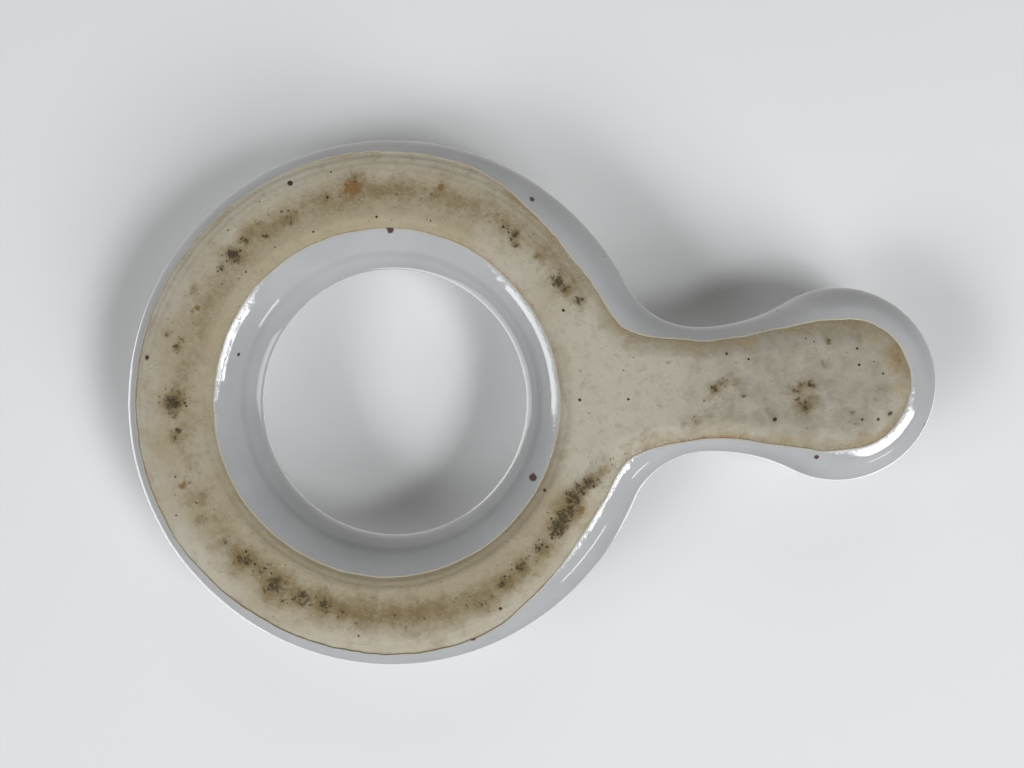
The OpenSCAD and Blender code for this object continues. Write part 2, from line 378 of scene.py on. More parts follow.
def footOf(side, inset, topZ):  # the bare clay: its points, and how far they are from the glaze
    edge, middle = loops[side]
    reach = reachAt(side, edge, middle)
    wide = shoulderAt(side, edge)
    onShoulder = np.linspace(0, 1, foot["shoulderRows"] + 1)[:, None]
    onFlat = np.linspace(0, 1, foot["flatRows"] + 1)[1:, None]
    far = np.concatenate([onShoulder * wide, mix(wide, reach - inset, onFlat)])
    s = 1 - (inset + far) / reach
    flat = middle + (edge - middle) * s[..., None]
    height = topZ * np.clip(1 - far / wide, 0, 1) ** foot["curve"]
    r = np.hypot(flat[..., 0], flat[..., 1])
    onRing = 1 - ease((flat[..., 0] - crestR + foot["ridgeEnd"]) / foot["ridgeEndOver"])
    r = r + foot["ridgeWander"] * grain(flat, foot["ridgeWanderSize"], seeds["turning"])
    lines = np.sin(2 * math.pi * r / foot["ridgeGap"]) * foot["ridge"]
    lumps = (1 + grain(flat, foot["lumpSize"], seeds["lumps"])) * foot["lump"]
    fade = np.clip(height / foot["ridgeHeight"], 0, 1) * np.clip(far / foot["ridgeFar"], 0, 1)
    height = height + lines * onRing * fade + lumps * np.clip(far / foot["lumpFar"], 0, 1)
    return np.concatenate([flat, np.maximum(height, 0)[..., None]], -1), far


# Nodes

def addNode(tree, kind, sockets=None, **settings):
    made = tree.nodes.new("ShaderNode" + kind)
    for key, value in settings.items():
        setattr(made, key, value)
    for key, value in (sockets or {}).items():
        if isinstance(value, bpy.types.NodeSocket):
            tree.links.new(value, made.inputs[key])
        else:
            made.inputs[key].default_value = value
    return made


def maths(tree, operation, *values, clamp=False):
    made = addNode(tree, "Math", dict(enumerate(values)), operation=operation, use_clamp=clamp)
    return made.outputs[0]


def noiseAt(tree, place, size, detail=2.0, rough=0.5, distortion=0.0):  # size in millimetres
    sockets = {"Vector": place, "Detail": detail, "Roughness": rough, "Distortion": distortion}
    made = addNode(tree, "TexNoise", sockets)
    if isinstance(size, bpy.types.NodeSocket):
        tree.links.new(maths(tree, "DIVIDE", 1 / mm, size), made.inputs["Scale"])
    else:
        made.inputs["Scale"].default_value = 1 / (size * mm)
    return made.outputs["Fac"]


def ramp(tree, value, low, high):  # smooth 0 to 1 between low and high
    sockets = {"Value": value, "From Min": low, "From Max": high}
    made = addNode(tree, "MapRange", sockets, interpolation_type="SMOOTHSTEP", clamp=True)
    return made.outputs["Result"]


def fall(tree, value, low, high):  # smooth 1 to 0 between low and high
    return maths(tree, "SUBTRACT", 1.0, ramp(tree, value, low, high))


def blendColour(tree, share, below, above):
    made = addNode(tree, "Mix", {0: share}, data_type="RGBA")
    for socket, value in ((made.inputs[6], below), (made.inputs[7], above)):
        if isinstance(value, bpy.types.NodeSocket):
            tree.links.new(value, socket)
        else:
            socket.default_value = (*value, 1)
    return made.outputs[2]


def newGroup(name, inputs, outputs):
    tree = bpy.data.node_groups.new(name, "ShaderNodeTree")
    for label, kind, value in inputs:
        socket = tree.interface.new_socket(label, in_out="INPUT", socket_type=kind)
        if value is not None:
            socket.default_value = value
    for label, kind in outputs:
        tree.interface.new_socket(label, in_out="OUTPUT", socket_type=kind)
    return tree, tree.nodes.new("NodeGroupInput").outputs, tree.nodes.new("NodeGroupOutput").inputs


def placeGroup(tree, group, sockets):
    made = tree.nodes.new("ShaderNodeGroup")
    made.node_tree = group
    for key, value in sockets.items():
        if isinstance(value, bpy.types.NodeSocket):
            tree.links.new(value, made.inputs[key])
        else:
            made.inputs[key].default_value = value
    return made.outputs


# How the shared textures are made
textures = {
    "spotRagged": (0.9, 0.55),  # of the radius: what the noise gives, and what is always there
    "spotNoise": 0.3,
    "spotFade": (0.72, 1.12),  # from full to nothing, in radii
    "speckRagged": (0.8, 0.6),
    "speckOwn": (0.8, 0.4),  # the same, by the speck's own tone
    "speckNoise": 0.2,
    "speckFade": (0.6, 1.1),
    "broad": (3, 0.55, 0.4),  # the noise's detail, roughness and distortion
    "fine": (4, 0.65),
}


def ironSpotGroup():  # one dark spot of iron, a little ragged
    inputs = [
        ("Place", "NodeSocketVector", None),
        ("Middle", "NodeSocketVector", None),
        ("Radius", "NodeSocketFloat", 0.2),
        ("Ragged", "NodeSocketFloat", 0.5),
    ]
    tree, given, found = newGroup("ironSpot", inputs, [("Mask", "NodeSocketFloat")])
    ends = {0: given["Place"], 1: given["Middle"]}
    away = addNode(tree, "VectorMath", ends, operation="DISTANCE").outputs["Value"]
    ragged = maths(tree, "MULTIPLY_ADD", given["Ragged"], *textures["spotRagged"])
    radius = maths(tree, "MULTIPLY", given["Radius"], ragged)
    share = maths(tree, "DIVIDE", maths(tree, "DIVIDE", away, mm), radius)
    tree.links.new(fall(tree, share, *textures["spotFade"]), found["Mask"])
    return tree


def pepperGroup():  # small specks scattered at random
    inputs = [
        ("Place", "NodeSocketVector", None),
        ("Gap", "NodeSocketFloat", 1.0),
        ("Size", "NodeSocketFloat", 0.1),
        ("Share", "NodeSocketFloat", 0.3),
    ]
    tree, given, found = newGroup("pepper", inputs, [("Mask", "NodeSocketFloat")])
    cells = addNode(tree, "TexVoronoi", {"Vector": given["Place"]}, feature="F1")
    tree.links.new(maths(tree, "DIVIDE", 1 / mm, given["Gap"]), cells.inputs["Scale"])
    tone = addNode(tree, "SeparateColor", {0: cells.outputs["Color"]})
    picked = maths(tree, "LESS_THAN", tone.outputs[0], given["Share"])
    ragged = noiseAt(tree, given["Place"], textures["speckNoise"])
    ragged = maths(tree, "MULTIPLY_ADD", ragged, *textures["speckRagged"])
    own = maths(tree, "MULTIPLY_ADD", tone.outputs[1], *textures["speckOwn"])
    radius = maths(tree, "DIVIDE", maths(tree, "MULTIPLY", given["Size"], own), given["Gap"])
    radius = maths(tree, "MULTIPLY", radius, ragged)
    share = maths(tree, "DIVIDE", cells.outputs["Distance"], radius)
    dot = fall(tree, share, *textures["speckFade"])
    tree.links.new(maths(tree, "MULTIPLY", dot, picked), found["Mask"])
    return tree


def mottleGroup():  # broad and fine unevenness of colour
    inputs = [
        ("Place", "NodeSocketVector", None),
        ("Size", "NodeSocketFloat", 4.0),
        ("Fine", "NodeSocketFloat", 0.5),
    ]
    outputs = [("Broad", "NodeSocketFloat"), ("Fine", "NodeSocketFloat")]
    tree, given, found = newGroup("mottle", inputs, outputs)
    broad = noiseAt(tree, given["Place"], given["Size"], *textures["broad"])
    tree.links.new(broad, found["Broad"])
    fine = noiseAt(tree, given["Place"], given["Fine"], *textures["fine"])
    tree.links.new(fine, found["Fine"])
    return tree


ironSpot, pepper, mottle = ironSpotGroup(), pepperGroup(), mottleGroup()


def newMaterial(name):
    material = bpy.data.materials.new(name)
    material.use_nodes = True
    tree = material.node_tree
    tree.nodes.clear()
    shader = addNode(tree, "BsdfPrincipled")
    addNode(tree, "OutputMaterial", {"Surface": shader.outputs[0]})
    place = addNode(tree, "TexCoord").outputs["Object"]
    return material, tree, shader, place


def bumpOn(tree, shader, height, look):
    sockets = {"Height": height, "Strength": look["bump"], "Distance": look["bumpDepth"] * mm}
    tree.links.new(addNode(tree, "Bump", sockets).outputs[0], shader.inputs["Normal"])


def valueOf(tree, name):
    return addNode(tree, "Attribute", attribute_name=name, attribute_type="GEOMETRY").outputs["Fac"]


def spots(tree, place, marks):
    mask, ragged = None, noiseAt(tree, place, textures["spotNoise"])
    for *middle, radius in marks:
        at = [far * mm for far in (middle + [flatMarkZ])[:3]]
        sockets = {"Place": place, "Middle": at, "Radius": radius, "Ragged": ragged}
        one = placeGroup(tree, ironSpot, sockets)["Mask"]
        mask = one if mask is None else maths(tree, "MAXIMUM", mask, one)
    return mask


# Colours as written, and sizes in millimetres
clayLook = {
    "pale": (0.42, 0.385, 0.315),
    "warm": (0.325, 0.275, 0.185),
    "dull": (0.235, 0.215, 0.165),
    "ochre": (0.31, 0.235, 0.12),
    "stain": (0.155, 0.107, 0.040),
    "dark": (0.034, 0.024, 0.011),
    "rust": (0.165, 0.088, 0.026),
    "iron": (0.028, 0.014, 0.010),
    "red": (0.30, 0.12, 0.06),
    "light": (0.58, 0.56, 0.50),
    "uneven": {"Size": 5.0, "Fine": 0.45},
    "patches": {"Size": 1.5, "Fine": 0.8},
    "clump": (0.42, 3, 0.6, 0.8),  # the noise's size, detail, roughness and distortion
    "speckle": (0.25, 4, 0.7),
    "grit": {"Gap": 0.5, "Size": 0.14, "Share": 0.6},
    "specks": {"Gap": 0.9, "Size": 0.075, "Share": 0.35},
    "pits": {"Gap": 0.5, "Size": 0.09, "Share": 0.35},
    "roughness": 0.92,
    "specular": 0.4,
    "bump": 0.6,
    "bumpDepth": 0.05,
    "layers": {  # colour, and how strong it gets
        "dull": ("dull", 0.5),
        "ochre": ("ochre", 0.7),
        "stain": ("stain", 0.92),
        "rust": ("rust", 0.92),
        "halo": ("stain", 0.85),
        "dark": ("dark", 0.93),
        "specks": ("dark", 0.7),
        "light": ("light", 0.2),
    },
    "ranges": {  # where a texture or a depth starts to show, and where it is full
        "warm": (0.1, 0.95),
        "dull": (0.48, 0.8),
        "ochreHere": (0.25, 0.6),
        "ochre": (0.1, 0.9),
        "stain": (0.0, 1.0),
        "rust": (0.25, 0.8),
        "red": (0.35, 0.6),
        "halo": (0.0, 0.9),
        "dark": (0.42, 0.95),
        "worn": (0.15, 0.8),
        "gritty": (0.04, 0.35),
        "light": (0.5, 0.8),
        "spatter": (0.5, 0.6),
    },
    "strays": {"ochre": 1.2, "stain": 0.8, "rust": 1.6, "halo": 0.9, "dark": 2.3},
    "warmth": {"start": 0.22, "paleness": -0.85, "uneven": 1.2},
    "dullPatches": 1.5,
    "ochreWidth": (4.6, -0.8),  # times the patches, and added
    "wornGrit": 0.6,
    "spatterEdge": (0.15, 0.7),  # from the glaze: where it starts to end, and where it ends
    "unevenRoughness": -0.25,
    "spatterRoughness": -0.65,
    "relief": {"broad": 0.6, "speckle": 1.3, "pits": -1.2, "spatter": 2.0},
}
glazeLook = {
    "pale": (0.38, 0.385, 0.392),
    "deep": (0.345, 0.352, 0.36),
    "thin": (0.36, 0.325, 0.255),
    "iron": (0.05, 0.016, 0.010),
    "grey": (0.25, 0.26, 0.28),
    "uneven": {"Size": 6.0, "Fine": 0.8},
    "specks": {"Gap": 1.7, "Size": 0.07, "Share": 0.22},
    "ironSpecks": {"Gap": 6.5, "Size": 0.22, "Share": 0.32},
    "pinholes": {"Gap": 1.3, "Size": 0.06, "Share": 0.25},
    "ripple": (2.6, 2, 0.5),
    "crawl": (0.3, 3, 0.6),
    "crawlEdge": (0.1, 0.7),
    "roughness": 0.05,
    "unevenRoughness": 0.05,
    "edgeRoughness": 0.35,
    "refraction": 1.6,
    "bump": 0.35,
    "bumpDepth": 0.08,
    "layers": {"thin": ("thin", 0.9), "specks": ("grey", 0.55), "ironSpecks": ("iron", 0.9)},
    "deepPatches": (0.3, 0.7),
    "thinFrom": 0.02,
    "thinWidth": (0.55, 0.05),  # times the unevenness, and added
    "relief": {"pinholes": -0.5, "crawl": 1.4},
    "deepInside": 5.0,  # a distance from the edge for the hidden side
}

# Marks of the bare clay, in millimetres in the frame: x, y, radius and depth
tanMarks = [
    (-13.6, -17.3, 1.28, 0.9), (-9.9, -16.9, 1.60, 0.55), (-6.7, -16.6, 1.12, 0.6),
    (-3.6, -15.5, 1.12, 0.5), (-1.5, -13.8, 0.96, 0.6), (0.6, -11.3, 0.80, 0.5),
    (15.1, 0.2, 1.44, 0.45), (21.7, 0.8, 1.60, 0.55), (8.4, 4.2, 1.44, 0.35),
    (5.1, 6.1, 1.12, 0.5), (13.2, 3.0, 1.60, 0.3), (-15.5, -16.5, 1.12, 0.6),
    (-18.8, -15.3, 1.12, 0.5), (-22.0, -13.8, 1.12, 0.6), (-24.1, -11.5, 0.96, 0.5),
    (-28.7, -0.8, 1.44, 0.5), (-28.7, 1.5, 1.12, 0.4), (-27.1, 7.1, 1.44, 0.45),
    (-26.5, 8.3, 1.12, 0.4), (-23.9, 12.0, 1.44, 0.7), (-21.2, 14.2, 1.44, 0.8),
    (-17.7, 15.7, 1.44, 0.8), (-14.1, 16.6, 1.60, 0.75), (-10.5, 16.9, 1.60, 0.7),
    (-7.3, 16.6, 1.44, 0.65), (-4.1, 15.7, 1.28, 0.7), (-1.2, 13.5, 1.12, 0.6),
    (2.5, 9.1, 1.3, 0.95), (4.3, 6.8, 0.96, 0.6), (29.6, -1.7, 1.12, 0.5),
]
darkMarks = [
    (-23.4, -12.3, 0.64, 1.0), (-22.6, -13.4, 0.48, 0.7), (-24.4, -11.3, 0.40, 0.6),
    (-21.5, -14.5, 0.64, 0.45), (-19.1, -15.0, 0.64, 0.6), (-17.5, -16.4, 0.48, 0.3),
    (-15.8, -16.6, 0.48, 0.35), (-26.7, -9.7, 0.40, 0.6), (-20.8, -13.7, 0.20, 0.9),
    (-29.0, -6.2, 0.32, 0.6), (-27.9, -5.7, 0.28, 0.6), (-28.3, -5.1, 0.32, 0.9),
    (-28.5, -1.6, 0.48, 0.7), (-28.7, -0.8, 0.80, 1.0), (-28.7, 0.0, 0.56, 0.8),
    (-28.5, 1.5, 0.24, 0.9), (-28.8, 2.1, 0.48, 0.55), (-26.9, 7.1, 0.80, 0.3),
    (-27.1, 8.8, 0.40, 0.55), (-25.9, 8.6, 0.32, 0.5), (-25.1, 10.5, 0.48, 0.5),
    (-24.3, 11.2, 0.48, 0.5), (-23.6, 12.1, 0.64, 0.85), (-22.5, 12.9, 0.64, 0.6),
    (-21.2, 14.2, 0.80, 0.85), (-20.6, 15.5, 0.40, 0.6), (-19.2, 15.3, 0.72, 0.8),
    (-17.3, 15.9, 0.72, 0.7), (-15.9, 16.5, 0.56, 0.4), (-14.5, 17.1, 0.64, 0.3),
    (-4.8, 16.5, 0.56, 0.65), (-2.9, 14.7, 0.56, 0.85), (-1.5, 13.5, 0.56, 0.85),
    (-0.0, 12.2, 0.64, 0.65), (-0.8, 13.0, 0.48, 0.5), (1.6, 10.5, 0.80, 1.0),
    (2.1, 9.8, 0.70, 0.95), (2.6, 9.2, 0.64, 0.85), (2.9, 8.2, 0.72, 0.95), (3.5, 7.6, 0.60, 0.85),
    (4.2, 7.0, 0.56, 0.95), (5.7, 5.8, 0.64, 0.55), (5.1, 5.3, 0.32, 0.5),
    (7.8, 5.2, 0.64, 0.35), (-0.9, -13.1, 0.36, 1.0), (-0.9, -12.3, 0.36, 0.7),
    (-1.5, -13.7, 0.48, 0.5), (0.9, -11.2, 0.32, 0.7), (1.9, -9.5, 0.34, 0.6),
    (2.4, -9.1, 0.50, 0.95), (2.9, -8.5, 0.42, 0.9), (3.9, -7.5, 0.44, 0.8),
    (4.4, -7.0, 0.32, 0.5), (14.5, -0.1, 0.48, 0.8), (15.1, -0.5, 0.40, 0.6),
    (16.1, -0.4, 0.48, 0.35), (16.7, 0.6, 0.20, 0.8), (13.9, 0.7, 0.32, 0.5),
    (21.4, -0.1, 0.32, 0.9), (22.0, -0.1, 0.32, 0.8), (22.4, 0.1, 0.28, 0.6),
    (21.0, 0.4, 0.32, 0.8), (21.1, 1.0, 0.24, 0.7), (21.6, 1.6, 0.64, 0.8),
    (22.2, 1.8, 0.32, 0.4), (22.6, 1.0, 0.32, 0.4), (23.5, -1.7, 0.48, 0.45),
    (25.9, 3.1, 0.56, 0.4), (25.4, 2.3, 0.24, 0.5), (27.3, 1.3, 0.40, 0.35),
    (28.5, 2.5, 0.20, 0.9), (27.5, 3.0, 0.16, 0.7), (26.0, -3.7, 0.40, 0.25),
    (23.7, -3.5, 0.18, 0.8), (11.9, 2.7, 0.32, 0.4), (12.9, 2.7, 0.32, 0.4),
]
rustMarks = [
    (-13.6, -17.4, 0.72, 1.0), (-14.3, -17.1, 0.48, 0.6), (-15.8, -16.5, 0.40, 0.6),
    (-6.7, -17.1, 0.40, 0.9), (-26.5, -8.2, 0.32, 0.9), (-26.9, -7.9, 0.24, 0.7),
    (-28.2, 5.9, 0.48, 0.8), (-27.8, 5.7, 0.32, 0.6), (3.5, 9.2, 0.40, 0.9),
    (1.7, 9.3, 0.32, 0.6), (10.9, -2.3, 0.28, 0.7),
]
redMarks = [
    (-3.0, -10.8, 0.80, 0.7), (-1.9, -9.8, 0.80, 0.9), (-0.8, -8.7, 0.80, 1.0),
    (0.1, -7.3, 0.64, 0.8), (12.0, 4.1, 0.96, 0.7), (13.6, 3.8, 0.96, 1.0),
    (15.4, 3.8, 0.96, 1.0), (16.6, 3.9, 0.48, 0.7), (-30.6, -4.2, 0.48, 0.5),
]
ochreMarks = [
    (-0.5, -17.0, 1.0, 0.7), (2.0, -14.6, 1.0, 0.8), (4.0, -11.6, 1.0, 0.8), (6.2, -8.4, 1.0, 0.8),
    (9.4, -5.0, 1.0, 0.6), (13.0, -3.7, 1.2, 0.9), (17.5, -4.0, 1.2, 0.8), (22.5, -5.4, 1.4, 0.7),
    (29.3, -1.9, 1.5, 1.0), (27.6, -4.0, 1.4, 0.6), (29.4, 0.6, 1.0, 0.7), (3.0, 0.0, 0.7, 0.4),
    (2.4, 4.2, 0.7, 0.5), (-31.6, 1.5, 0.7, 0.5), (-30.8, 7.0, 0.7, 0.5), (7.0, 8.4, 0.9, 0.4),
    (19.0, 4.6, 0.8, 0.4),
]
paleMarks = [
    (0.2, -10.1, 2.6, 0.65), (2.4, -5.3, 2.2, 0.7), (-3.0, -12.6, 2.0, 0.3), (-26.5, 3.0, 2.0, 0.3),
]
# Iron spots: x, y and radius, at this height
flatMarkZ = 0.1
clayIron = [
    (-18.7, -17.9, 0.27), (-17.0, -13.9, 0.09), (-20.1, -12.8, 0.10), (-21.2, -16.5, 0.08),
    (-20.5, -15.8, 0.08), (-23.8, -14.3, 0.09), (-26.1, -14.2, 0.12), (-22.5, -10.9, 0.11),
    (-23.1, -10.4, 0.10), (-23.9, -10.4, 0.08), (-23.6, -10.1, 0.08), (-15.4, -18.6, 0.08),
    (-17.5, -18.5, 0.08), (-11.9, -14.9, 0.11), (-14.5, -15.8, 0.08), (-30.8, -4.4, 0.28),
    (-28.5, 9.7, 0.10), (-29.8, 7.3, 0.11), (-29.8, 7.9, 0.08), (-28.9, 8.3, 0.08),
    (-28.8, 5.2, 0.10), (-28.9, 6.7, 0.08), (-27.7, -0.4, 0.12), (-26.3, 13.4, 0.11),
    (-24.7, 14.8, 0.10), (-14.7, 18.5, 0.11), (-20.3, 12.6, 0.10), (2.7, -6.8, 0.16),
    (-1.1, -15.4, 0.08), (-8.0, -14.0, 0.08), (-7.9, -14.5, 0.08), (-7.6, -14.4, 0.08),
    (0.6, 7.5, 0.21), (-3.3, 16.8, 0.14), (0.0, 11.4, 0.10), (0.8, 10.5, 0.10),
    (0.8, 9.3, 0.10), (7.6, 0.5, 0.14), (8.7, 0.9, 0.08), (4.4, 1.5, 0.08), (3.7, 0.4, 0.14),
    (8.9, -4.0, 0.10), (15.6, -2.8, 0.12), (17.3, -2.3, 0.14), (14.8, -1.9, 0.08),
    (19.2, 2.6, 0.20), (26.0, -2.8, 0.14), (26.1, -1.5, 0.14), (28.0, -0.7, 0.12),
    (27.3, -1.7, 0.10), (22.0, -3.8, 0.10), (22.6, -3.5, 0.08), (12.8, 2.1, 0.10),
    (14.5, 1.2, 0.08), (22.5, 5.1, 0.11), (22.4, 4.4, 0.08), (22.4, 5.6, 0.20),
]
glazeIron = [  # x, y, z and radius
    (-0.3, 6.5, 0.8, 0.36), (-10.9, -13.9, 0.5, 0.32), (0.6, -16.0, 0.9, 0.26),
    (8.0, -6.8, 0.8, 0.21), (6.4, -11.3, 2.1, 0.11), (-23.7, -4.4, 1.2, 0.15),
    (-5.6, 19.2, 0.4, 0.22), (32.0, 3.6, 2.0, 0.18), (20.5, -6.2, 2.4, 0.09),
    (-32.9, -4.7, 4.5, 0.14), (22.7, 5.8, 0.8, 0.21), (0.9, 8.6, 9.1, 0.1),
]

# The worn, stained ring where the foot touches the table: how deep it is (second number) by
# the angle from the handle (first)
wornRing = {
    "middle": (0.56, 0.0),
    "radius": 16.9,
    "width": 1.2,
    "depths": [
        (0, 0), (20, 0), (30, 0.5), (55, 0.45), (70, 0.6), (105, 0.65), (120, 0.5), (140, 0.5),
        (160, 0.4), (175, 0.45), (195, 0.3), (210, 0.3), (225, 0.65), (250, 0.75), (270, 0.8),
        (300, 0.6), (320, 0.35), (335, 0.25), (345, 0.1), (360, 0),
    ],
}


def laid(tree, look, colour, layer, mask):  # one of the look's layers over this colour
    above, most = look["layers"][layer]
    return blendColour(tree, maths(tree, "MULTIPLY", mask, most), colour, look[above])


def dots(tree, look, place, kind):
    return placeGroup(tree, pepper, {"Place": place, **look[kind]})["Mask"]


def clayMaterial():
    look = clayLook
    strays, relief = look["strays"], look["relief"]
    material, tree, shader, place = newMaterial("bareClay")
    uneven = placeGroup(tree, mottle, {"Place": place, **look["uneven"]})
    patches = placeGroup(tree, mottle, {"Place": place, **look["patches"]})
    clump = noiseAt(tree, place, *look["clump"])
    speckle = noiseAt(tree, place, *look["speckle"])

    def shown(value, name):
        return ramp(tree, value, *look["ranges"][name])

    def strayed(name, texture, far):  # the depth of these marks, made uneven
        centred = maths(tree, "SUBTRACT", texture, 0.5)
        return maths(tree, "MULTIPLY_ADD", centred, far, valueOf(tree, name))

    # Pale on the handle, warm on the ring, dull patches
    warmth = valueOf(tree, "paleness")
    warmth = maths(tree, "MULTIPLY_ADD", warmth, look["warmth"]["paleness"], look["warmth"]["start"])
    warmth = maths(tree, "MULTIPLY_ADD", uneven["Broad"], look["warmth"]["uneven"], warmth)
    colour = blendColour(tree, shown(warmth, "warm"), look["pale"], look["warm"])
    patchy = maths(tree, "MULTIPLY", patches["Broad"], look["dullPatches"])
    dull = maths(tree, "MULTIPLY", valueOf(tree, "dull"), patchy, clamp=True)
    colour = blendColour(tree, dull, colour, look["dull"])
    colour = laid(tree, look, colour, "dull", shown(patches["Fine"], "dull"))

    # Ochre beside the glaze
    edge = valueOf(tree, "fromGlaze")
    wide = maths(tree, "MULTIPLY_ADD", patches["Broad"], *look["ochreWidth"])
    near = fall(tree, edge, 0.0, wide)
    near = maths(tree, "MULTIPLY", near, shown(uneven["Broad"], "ochreHere"))
    ochre = shown(strayed("ochre", uneven["Fine"], strays["ochre"]), "ochre")
    colour = laid(tree, look, colour, "ochre", maths(tree, "MAXIMUM", near, ochre))

    # Stains
    stain = maths(tree, "SUBTRACT", uneven["Fine"], 0.5)
    stain = maths(tree, "ADD", stain, strayed("stain", patches["Broad"], strays["stain"]))
    colour = laid(tree, look, colour, "stain", shown(stain, "stain"))
    rust = strayed("rust", uneven["Fine"], strays["rust"])
    colour = laid(tree, look, colour, "rust", shown(rust, "rust"))
    red = maths(tree, "MULTIPLY", valueOf(tree, "red"), shown(speckle, "red"))
    colour = blendColour(tree, red, colour, look["red"])
    halo = strayed("dark", patches["Broad"], strays["halo"])
    colour = laid(tree, look, colour, "halo", shown(halo, "halo"))
    dark = strayed("dark", clump, strays["dark"])
    colour = laid(tree, look, colour, "dark", shown(dark, "dark"))

    # Grit and specks
    worn = maths(tree, "MULTIPLY", shown(valueOf(tree, "stain"), "worn"), look["wornGrit"])
    gritty = maths(tree, "MAXIMUM", shown(valueOf(tree, "dark"), "gritty"), worn)
    grit = maths(tree, "MULTIPLY", dots(tree, look, place, "grit"), gritty)
    colour = blendColour(tree, grit, colour, look["dark"])
    colour = laid(tree, look, colour, "specks", dots(tree, look, place, "specks"))
    colour = laid(tree, look, colour, "light", shown(speckle, "light"))
    colour = blendColour(tree, spots(tree, place, clayIron), colour, look["iron"])
    tree.links.new(colour, shader.inputs["Base Color"])

    # Dry and pitted, with a spatter of glaze beside the edge
    beside = fall(tree, edge, *look["spatterEdge"])
    spatter = maths(tree, "MULTIPLY", shown(speckle, "spatter"), beside)
    rough = maths(tree, "MULTIPLY_ADD", uneven["Fine"], look["unevenRoughness"], look["roughness"])
    rough = maths(tree, "MULTIPLY_ADD", spatter, look["spatterRoughness"], rough)
    tree.links.new(rough, shader.inputs["Roughness"])
    pits = dots(tree, look, place, "pits")
    height = maths(tree, "MULTIPLY", uneven["Broad"], relief["broad"])
    height = maths(tree, "MULTIPLY_ADD", speckle, relief["speckle"], height)
    height = maths(tree, "MULTIPLY_ADD", pits, relief["pits"], height)
    height = maths(tree, "MULTIPLY_ADD", spatter, relief["spatter"], height)
    bumpOn(tree, shader, height, look)
    shader.inputs["Specular IOR Level"].default_value = look["specular"]
    return material


def glazeMaterial():
    look = glazeLook
    material, tree, shader, place = newMaterial("paleGlaze")
    uneven = placeGroup(tree, mottle, {"Place": place, **look["uneven"]})

    # Thin at the edge, where the clay shows through
    deep = ramp(tree, uneven["Broad"], *look["deepPatches"])
    colour = blendColour(tree, deep, look["pale"], look["deep"])
    edge = valueOf(tree, "fromEdge")
    thin = maths(tree, "MULTIPLY_ADD", uneven["Fine"], *look["thinWidth"])
    near = fall(tree, edge, look["thinFrom"], thin)
    colour = laid(tree, look, colour, "thin", near)
    for kind in ("specks", "ironSpecks"):
        colour = laid(tree, look, colour, kind, dots(tree, look, place, kind))
    colour = blendColour(tree, spots(tree, place, glazeIron), colour, look["iron"])
    tree.links.new(colour, shader.inputs["Base Color"])

    # Glossy, softly rippled, crawled at the edge
    rough = maths(tree, "MULTIPLY_ADD", uneven["Fine"], look["unevenRoughness"], look["roughness"])
    rough = maths(tree, "MULTIPLY_ADD", near, look["edgeRoughness"], rough)
    tree.links.new(rough, shader.inputs["Roughness"])
    shader.inputs["IOR"].default_value = look["refraction"]
    pinholes = dots(tree, look, place, "pinholes")
    height = noiseAt(tree, place, *look["ripple"])
    height = maths(tree, "MULTIPLY_ADD", pinholes, look["relief"]["pinholes"], height)
    crawl = noiseAt(tree, place, *look["crawl"])
    crawl = maths(tree, "MULTIPLY", crawl, fall(tree, edge, *look["crawlEdge"]))
    height = maths(tree, "MULTIPLY_ADD", crawl, look["relief"]["crawl"], height)
    bumpOn(tree, shader, height, look)
    return material


def blots(flat, marks, spread=1):  # how deep the marks are at these points
    depth = np.zeros(flat.shape[:-1])
    for x, y, radius, dark in marks:
        away = np.hypot(flat[..., 0] - centreX - x, flat[..., 1] - y) / (radius * spread)
        depth = np.maximum(depth, dark * np.exp(-(away**2)))
    return depth


# Where the clay is pale, dull or ochre, in millimetres from the middle of the ring or of the frame
claySpread = {
    "handleRadius": 14.9,  # pale from here outwards
    "handleOver": 0.7,
    "handleTurn": 17,  # degrees to each side of the handle
    "handleTurnOver": 14,
    "handlePale": (0.5, 1),  # inside this radius and outside it
    "rimRadius": 17.2,
    "rimOver": 2.4,
    "rimPale": 0.5,
    "dullFrom": 2,  # along X, past the crest's radius
    "dullOver": 12,
    "dullMost": 0.85,
    "ochreFrom": (4, 8),  # the corner beside the handle that has the widest ochre edge
    "ochreOver": (8, 4),
    "ochreThin": {"hole": (5, 5), "outer": (4.5, 1)},  # elsewhere and there
    "redReach": (1.4, 0.3),
    "darkSpread": 1.2,
}


